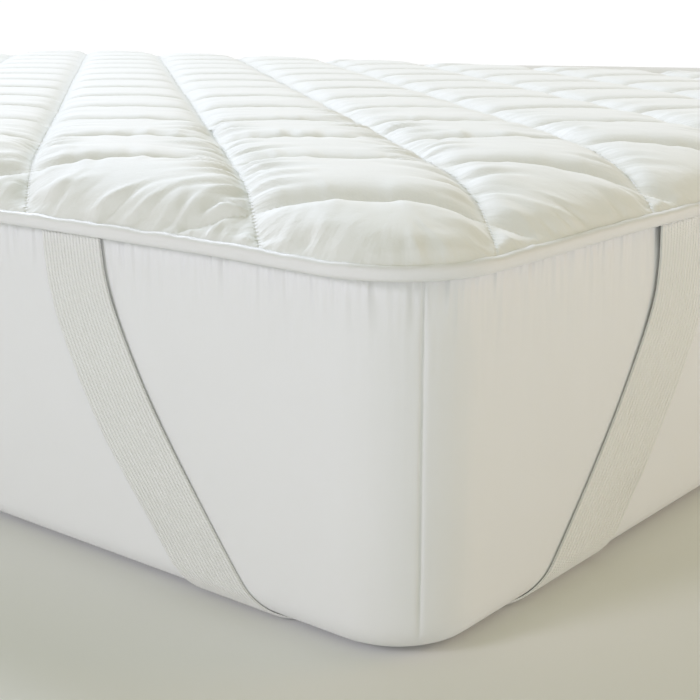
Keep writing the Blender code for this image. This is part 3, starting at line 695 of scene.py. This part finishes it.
def fold_share(inward):
    """1 where a strap goes round a bottom edge, and 0 away from it."""
    return 1 - ease(np.maximum(FOLD_FROM - inward, inward - FOLD_TO) / FOLD_FADE)


def folded(inward, lift):
    """An unfolded distance taken round the bottom edge: inset from the wall, and height.

    Past the edge it lies under the mattress, on the edge it follows a quarter circle, and on
    the wall it goes straight up and stands off a little below the binding.
    """
    turn = np.clip((BOTTOM_RADIUS - inward) / BOTTOM_RADIUS, 0, math.pi / 2)
    reach = BOTTOM_RADIUS + lift
    climb = np.clip(BOTTOM_RADIUS * (1 - math.pi / 2) - inward, 0, None)
    inset = np.where(inward >= BOTTOM_RADIUS, inward, BOTTOM_RADIUS - reach * np.sin(turn))
    height = FOOT_LIFT + BOTTOM_RADIUS - reach * np.cos(turn) + climb
    flare = ease((height - (WALL_TOP - STRAP_FLARE)) / STRAP_FLARE) * STAND_OFF
    return np.where(climb > 0, inset - flare, inset), height


def make_strap(name, side_x, side_y, finish):
    """One elastic strap: a flat closed band along the route, ribbed lengthwise on its face.

    Each station is a line across the band, skewed where it folds round an edge so that the fold
    stays level, and the ribs are a cosine across the face.
    """
    centre, width, length = smooth_route()
    way = np.gradient(centre, axis=0)
    way = way / np.hypot(way[:, 0], way[:, 1])[:, None]
    way[0], way[-1] = np.round(way[0]), np.round(way[-1])
    skew = (fold_share(centre[:, 0]) * way[:, 1] / np.maximum(way[:, 0], LEAST_RUN)
            + fold_share(centre[:, 1]) * way[:, 0] / np.maximum(-way[:, 1], LEAST_RUN))
    across = np.stack([-way[:, 1] + skew * way[:, 0], way[:, 0] + skew * way[:, 1]], -1)
    face = np.linspace(-0.5, 0.5, RIBS * RIB_COLUMNS + 1)
    over = np.concatenate([face, np.linspace(0.5, -0.5, BACK_COLUMNS + 1)])
    edge = np.clip((0.5 - np.abs(face)) * STRAP_WIDTH / STRAP_EDGE, 0, 1)
    ribs = 0.5 + 0.5 * np.cos(2 * math.pi * RIBS * face)
    half = 0.5 * STRAP_THICKNESS
    raised = half + (STRAP_THICKNESS - RIB_HEIGHT * ribs - half) * (0.35 + 0.65 * edge)
    raised = np.concatenate([raised, np.zeros(BACK_COLUMNS + 1)])
    place = centre[:, None, :] + across[:, None, :] * (over[None, :] * width[:, None])[..., None]
    on_wall = ease((-SLACK_FROM - np.minimum(centre[:, 0], centre[:, 1])) / SLACK_IN)
    corner_side = ease((over[None, :] - LIFT_FROM) / LIFT_IN)
    open_top = 1 - ease((np.maximum(-centre[:, 0], -centre[:, 1]) - LIFT_UNTIL) / LIFT_OUT)
    curl = EDGE_LIFT * corner_side * (on_wall * open_top)[:, None]
    slack = STRAP_SLACK * (1 + drift(length / SLACK_LENGTH, 3.3 * side_x + 7.7 * side_y, 121))[:, None]
    lift = STRAP_GAP + raised[None, :] + curl + slack * on_wall[:, None]
    from_long, from_short = place[..., 0], place[..., 1]
    inset_long, high_long = folded(from_long, lift)
    inset_short, high_short = folded(from_short, lift)
    long_side = from_long < BOTTOM_RADIUS
    short_side = ~long_side & (from_short < BOTTOM_RADIUS)
    x = WIDTH / 2 - np.where(long_side, inset_long, from_long)
    y = LENGTH / 2 - np.where(short_side, inset_short, from_short)
    z = np.where(long_side, high_long, np.where(short_side, high_short, FOOT_LIFT - lift))
    z = np.minimum(z, BINDING_Z - BINDING_HALF_HEIGHT + SEWN_IN)
    points = np.stack([x * side_x, y * side_y, z], -1).reshape(-1, 3)
    rows, columns = x.shape
    quads = band_faces(rows, columns)
    ends = [np.arange(columns)[::-1][None, :], (np.arange(columns) + (rows - 1) * columns)[None, :]]
    if side_x * side_y < 0:
        quads, ends = quads[:, ::-1], [end[:, ::-1] for end in ends]
    maps = {"strap": np.stack([np.tile(over * STRAP_WIDTH, rows), np.repeat(length, columns)], -1)}
    return cloth_object(name, points, [quads, *ends], maps, finish)


# Finishes


def add(tree, kind, *values, **settings):
    """A node of one kind with its settings, and its inputs in order: a value or a link."""
    made = tree.nodes.new("ShaderNode" + kind)
    for key, value in settings.items():
        setattr(made, key, value)
    for socket, value in zip([s for s in made.inputs if s.enabled], values):
        if isinstance(value, bpy.types.NodeSocket):
            tree.links.new(value, socket)
        elif value is not None:
            socket.default_value = value
    return made


def calc(tree, operation, *values):
    """One step of arithmetic."""
    return add(tree, "Math", *values, operation=operation).outputs[0]


def spread(tree, x, y, z=0.0):
    """A vector from three numbers or links."""
    return add(tree, "CombineXYZ", x, y, z).outputs[0]


def noise(tree, vector, scale, detail=1.0, rough=0.5):
    """Noise about zero, from roughly -0.5 to 0.5."""
    made = add(tree, "TexNoise")
    tree.links.new(vector, made.inputs["Vector"])
    made.inputs["Scale"].default_value = scale
    made.inputs["Detail"].default_value = detail
    made.inputs["Roughness"].default_value = rough
    return calc(tree, "SUBTRACT", made.outputs[0], 0.5)


def stretched_noise(tree, x, width, y, height, detail=1.0, z=0.0):
    """Noise about zero whose patches have this width along x and this height along y."""
    where = spread(tree, calc(tree, "DIVIDE", x, width), calc(tree, "DIVIDE", y, height), z)
    return noise(tree, where, 1.0, detail)


def falling(tree, distance, reach):
    """The exponential of minus a distance over its reach."""
    return calc(tree, "EXPONENT", calc(tree, "DIVIDE", distance, -reach))


def narrow(tree, distance, width):
    """A Gaussian: the exponential of minus the square of the distance over the width."""
    square = calc(tree, "POWER", calc(tree, "DIVIDE", distance, width), 2.0)
    return calc(tree, "EXPONENT", calc(tree, "MULTIPLY", square, -1.0))


def total(tree, *values):
    """The sum of several links."""
    result = values[0]
    for value in values[1:]:
        result = calc(tree, "ADD", result, value)
    return result


def own_map(tree, name):
    """The two parts of a piece's own UV map."""
    made = add(tree, "SeparateXYZ", add(tree, "UVMap", uv_map=name).outputs[0])
    return made.outputs[0], made.outputs[1]


def threads(tree, along, across, size, height):
    """A plain weave's threads: two noises, each stretched along one thread direction."""
    warp = noise(tree, spread(tree, calc(tree, "MULTIPLY", along, 0.12), across), 1 / size)
    weft = noise(tree, spread(tree, along, calc(tree, "MULTIPLY", across, 0.12), 7.0), 1 / size)
    return calc(tree, "MULTIPLY", calc(tree, "ADD", warp, weft), height)


def cloth_finish(name, colour, roughness, sheen, mottle=0.02):
    """A cloth: its colour with a slow unevenness, roughness and sheen. Returns tree and shader."""
    material = bpy.data.materials.new(name)
    material.use_nodes = True
    tree = material.node_tree
    shader = tree.nodes["Principled BSDF"]
    shader.inputs["Roughness"].default_value = roughness
    shader.inputs["Sheen Weight"].default_value = sheen
    shader.inputs["Sheen Roughness"].default_value = 0.5
    shader.inputs["Specular IOR Level"].default_value = 0.25
    place = add(tree, "TexCoord").outputs["Object"]
    cloudy = noise(tree, place, 14.0, 3.0)
    darker = tuple(part * (1 - mottle) for part in colour)
    lighter = tuple(min(part * (1 + mottle), 1.0) for part in colour)
    mixed = add(tree, "Mix", data_type="RGBA")
    tree.links.new(calc(tree, "ADD", cloudy, 0.5), mixed.inputs[0])
    mixed.inputs[6].default_value = (*darker, 1)
    mixed.inputs[7].default_value = (*lighter, 1)
    tree.links.new(mixed.outputs[2], shader.inputs["Base Color"])
    return material, tree, shader


def raise_surface(tree, shader, height):
    """Bump from a height in metres."""
    bump = add(tree, "Bump")
    bump.inputs["Strength"].default_value = 1.0
    bump.inputs["Distance"].default_value = 1.0
    tree.links.new(height, bump.inputs["Height"])
    tree.links.new(bump.outputs[0], shader.inputs["Normal"])


# Stitches: length of one, and width of their groove. Puckers beside them: wavelength, length
# away from the seam, and reach. For each family: height of the puckers, depth of the stitches
STITCH_LENGTH, STITCH_WIDTH = 0.0042, 0.0011
PUCKER_WAVELENGTH, PUCKER_LENGTH, PUCKER_REACH = 0.0065, 0.045, 0.016
SEWN_A, SEWN_B = (0.0014, 0.00045), (0.0006, 0.00020)
# Gathers at the edges, in the bump: wavelength, length, reach and height
PANEL_EDGE_GATHERS, WALL_EDGE_GATHERS = (0.0085, 0.03, 0.014, 0.0022), (0.010, 0.06, 0.022, 0.0085)
# Threads of each cloth: size and height
QUILT_THREADS, TAPE_THREADS = (0.0011, 0.00007), (0.0009, 0.00004)
COVER_THREADS, ELASTIC_THREADS = (0.0012, 0.000015), (0.0010, 0.00008)
# Elastic: width and depth of the groove between ribs, and pitch and height of its slanted knit
RIB_GROOVE_WIDTH, RIB_GROOVE_DEPTH, KNIT_PITCH, KNIT_HEIGHT = 0.0005, 0.0005, 0.0019, 0.00009


def seam_bump(tree, phase, other, family, sewn, offset):
    """Fine puckers and stitches of one family of seams, as a height in metres.

    The distance from the seam is the phase's distance from a whole number times the seams'
    spacing. Puckers are noise along the seam under a falling exponential; each stitch is a
    bead of a cosine along the seam in a narrow groove.
    """
    seam = calc(tree, "ROUND", phase)
    off = calc(tree, "MULTIPLY", calc(tree, "SUBTRACT", phase, seam), family[0])
    away = calc(tree, "ABSOLUTE", off)
    run = calc(tree, "MULTIPLY", other, family[1])
    tall, deep = sewn
    ridge = stretched_noise(tree, run, PUCKER_WAVELENGTH, off, PUCKER_LENGTH, 2.0,
                            calc(tree, "MULTIPLY_ADD", seam, 3.7, offset))
    near = falling(tree, away, PUCKER_REACH)
    puckers = calc(tree, "MULTIPLY", calc(tree, "MULTIPLY", ridge, near), tall)
    groove = narrow(tree, away, STITCH_WIDTH)
    beads = calc(tree, "COSINE", calc(tree, "MULTIPLY", run, 2 * math.pi / STITCH_LENGTH))
    stitch = calc(tree, "MULTIPLY", groove, calc(tree, "MULTIPLY_ADD", beads, 0.7 * deep, -deep))
    return calc(tree, "ADD", puckers, stitch)


def quilt_finish():
    """White microfibre over filling: stitches, puckers at the seams and edge, and fine threads."""
    material, tree, shader = cloth_finish("quilted_cover", (0.885, 0.89, 0.88), 0.72, 0.25)
    phase_a, phase_b = own_map(tree, "quilt")
    run, inset = own_map(tree, "edge")
    seams = calc(tree, "ADD", seam_bump(tree, phase_a, phase_b, FAMILY_A, SEWN_A, 0.0),
                 seam_bump(tree, phase_b, phase_a, FAMILY_B, SEWN_B, 40.0))
    inside = calc(tree, "SUBTRACT", inset, HEM_TOP_INSET)
    wavelength, long, reach, tall = PANEL_EDGE_GATHERS
    ridge = stretched_noise(tree, run, wavelength, inside, long, 2.0)
    near = falling(tree, inside, reach)
    gathers = calc(tree, "MULTIPLY", calc(tree, "MULTIPLY", ridge, near), tall)
    place = add(tree, "TexCoord").outputs["Object"]
    parts = add(tree, "SeparateXYZ", place).outputs
    weave = threads(tree, parts[0], parts[1], *QUILT_THREADS)
    crumple = calc(tree, "MULTIPLY", noise(tree, place, 95.0, 2.0), 0.0003)
    raise_surface(tree, shader, total(tree, seams, gathers, weave, crumple))
    return material


def tape_finish():
    """Binding tape: a close satin weave and faint creases across it."""
    material, tree, shader = cloth_finish("binding_tape", (0.83, 0.83, 0.83), 0.55, 0.2)
    run, turn = own_map(tree, "tape")
    creases = stretched_noise(tree, run, 0.010, turn, 0.02, 2.0)
    weave = threads(tree, run, turn, *TAPE_THREADS)
    raise_surface(tree, shader, calc(tree, "ADD", calc(tree, "MULTIPLY", creases, 0.0006), weave))
    return material


def cover_finish():
    """The mattress's own cover: a smooth close knit, gathered in patches under the binding."""
    material, tree, shader = cloth_finish("mattress_cover", (0.84, 0.845, 0.85), 0.8, 0.15, 0.012)
    run, height = own_map(tree, "cover")
    weave = threads(tree, run, height, *COVER_THREADS)
    soft = calc(tree, "MULTIPLY", stretched_noise(tree, run, 0.03, height, 0.05), 0.0009)
    wavelength, long, reach, tall = WALL_EDGE_GATHERS
    ridge = stretched_noise(tree, run, wavelength, height, long)
    patchy = noise(tree, spread(tree, calc(tree, "DIVIDE", run, 0.07), 3.0), 1.0, 1.0)
    under = falling(tree, calc(tree, "SUBTRACT", WALL_TOP, height), reach)
    under = calc(tree, "MULTIPLY", under, calc(tree, "ADD", patchy, 0.75))
    gathers = calc(tree, "MULTIPLY", calc(tree, "MULTIPLY", ridge, under), tall)
    raise_surface(tree, shader, total(tree, weave, soft, gathers))
    return material


def elastic_finish():
    """Woven elastic: lengthwise ribs with a fine slanted knit between them."""
    material, tree, shader = cloth_finish("strap_elastic", (0.88, 0.88, 0.86), 0.65, 0.2)
    over, length = own_map(tree, "strap")
    zigzag = calc(tree, "PINGPONG", over, STRAP_WIDTH / RIBS / 2)
    groove = calc(tree, "MULTIPLY", narrow(tree, zigzag, RIB_GROOVE_WIDTH), -RIB_GROOVE_DEPTH)
    slanted = calc(tree, "MULTIPLY_ADD", zigzag, 0.8, length)
    knit = calc(tree, "SINE", calc(tree, "MULTIPLY", slanted, 2 * math.pi / KNIT_PITCH))
    weave = threads(tree, over, length, *ELASTIC_THREADS)
    raise_surface(tree, shader, total(tree, calc(tree, "MULTIPLY", knit, KNIT_HEIGHT), groove, weave))
    return material


# Pieces


panel = make_panel(quilt_finish())
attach(panel, "root")
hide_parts("quilted_panel")

binding = make_binding(tape_finish())
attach(binding, "root")
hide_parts("edge_binding")

mattress = make_mattress(cover_finish())
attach(mattress, "root")
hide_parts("mattress")

elastic = elastic_finish()
for end, side_y in (("foot", -1), ("head", 1)):
    for side, side_x in (("left", -1), ("right", 1)):
        strap = make_strap(f"elastic_strap_{end}_{side}", side_x, side_y, elastic)
        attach(strap, "root")
        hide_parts(f"corner_strap_{end}_{side}")


# Studio


FLOOR_SIDES, FLOOR_RADIUS, FLOOR_HEIGHT = 96, 6.0, -0.0005
WALL_HEIGHT, WALL_GLOW = 2.0, 1.0
SKY_COLOUR, SKY_STRENGTH = (0.95, 1.0, 0.62, 1), 0.33


def add_lamp(name, place, aim, size, power, colour):
    """A square area lamp that points from its place at its aim."""
    lamp = bpy.data.lights.new(name, "AREA")
    lamp.size, lamp.energy, lamp.color = size, power, colour
    item = bpy.data.objects.new(name, lamp)
    item.location = place
    item.rotation_euler = (Vector(aim) - Vector(place)).to_track_quat("-Z", "Y").to_euler()
    bpy.context.scene.collection.objects.link(item)


def add_sun(name, azimuth, height, spread_angle, strength, colour):
    """A wide soft distant lamp: its direction by azimuth from +Y and by height, in degrees."""
    lamp = bpy.data.lights.new(name, "SUN")
    lamp.energy, lamp.angle, lamp.color = strength, math.radians(spread_angle), colour
    turn, rise = math.radians(azimuth), math.radians(height)
    toward = Vector((math.sin(turn) * math.cos(rise), math.cos(turn) * math.cos(rise), math.sin(rise)))
    item = bpy.data.objects.new(name, lamp)
    item.rotation_euler = toward.to_track_quat("Z", "Y").to_euler()
    bpy.context.scene.collection.objects.link(item)


def make_floor():
    """A plain pale floor, and a plain white wall that stands round it a long way off."""
    floor_paint = bpy.data.materials.new("pale_floor")
    floor_paint.use_nodes = True
    shader = floor_paint.node_tree.nodes["Principled BSDF"]
    shader.inputs["Base Color"].default_value = (0.86, 0.86, 0.85, 1)
    shader.inputs["Roughness"].default_value = 0.9
    shader.inputs["Specular IOR Level"].default_value = 0.2
    angle = np.arange(FLOOR_SIDES) / FLOOR_SIDES * 2 * math.pi
    round_it = FLOOR_RADIUS * np.stack([np.cos(angle), np.sin(angle)], -1)
    low = np.column_stack([round_it, np.full(FLOOR_SIDES, FLOOR_HEIGHT)])
    floor = cloth_object("floor", low, [np.arange(FLOOR_SIDES)[None, :]], {}, floor_paint)
    wall_paint = bpy.data.materials.new("white_wall")
    wall_paint.use_nodes = True
    shader = wall_paint.node_tree.nodes["Principled BSDF"]
    shader.inputs["Base Color"].default_value = (0.0, 0.0, 0.0, 1)
    shader.inputs["Emission Color"].default_value = (1.0, 1.0, 1.0, 1)
    shader.inputs["Emission Strength"].default_value = WALL_GLOW
    high = low + np.array([0, 0, WALL_HEIGHT])
    faces = band_faces(2, FLOOR_SIDES)[:, ::-1]
    wall = cloth_object("studio_wall", np.concatenate([low, high]), [faces], {}, wall_paint)


make_floor()
world = bpy.data.worlds.new("studio")
bpy.context.scene.world = world
world.use_nodes = True
world.node_tree.nodes["Background"].inputs[0].default_value = SKY_COLOUR
world.node_tree.nodes["Background"].inputs[1].default_value = SKY_STRENGTH
add_sun("window", 31, 30, 24, 2.75, (0.76, 0.82, 1.0))
add_sun("side_window", -70, 26, 16, 0.85, (0.88, 0.84, 1.0))
add_lamp("room", (2.4, -3.4, 1.3), (0.1, -0.9, 0.15), 2.0, 30, (1.0, 0.66, 0.42))
bpy.context.scene.view_settings.view_transform = "Standard"

# Camera, from the fit of the photograph's edges and seams
FOCAL_PIXELS, FRAME_PIXELS, SENSOR = 1370.5, 700, 36.0
CAMERA_PITCH, CAMERA_YAW = math.radians(14.496), math.radians(51.06)
CAMERA_PLACE = (-1.2477, -1.3591, 0.3712)
camera = bpy.data.objects.new("camera", bpy.data.cameras.new("camera"))
camera.data.sensor_width = SENSOR
camera.data.lens = SENSOR * FOCAL_PIXELS / FRAME_PIXELS
camera.location = CAMERA_PLACE
ahead = Vector((math.sin(CAMERA_YAW) * math.cos(CAMERA_PITCH),
                math.cos(CAMERA_YAW) * math.cos(CAMERA_PITCH), -math.sin(CAMERA_PITCH)))
camera.rotation_euler = ahead.to_track_quat("-Z", "Y").to_euler()
camera.data.clip_start, camera.data.clip_end = 0.05, 100.0
bpy.context.scene.collection.objects.link(camera)
bpy.context.scene.camera = camera
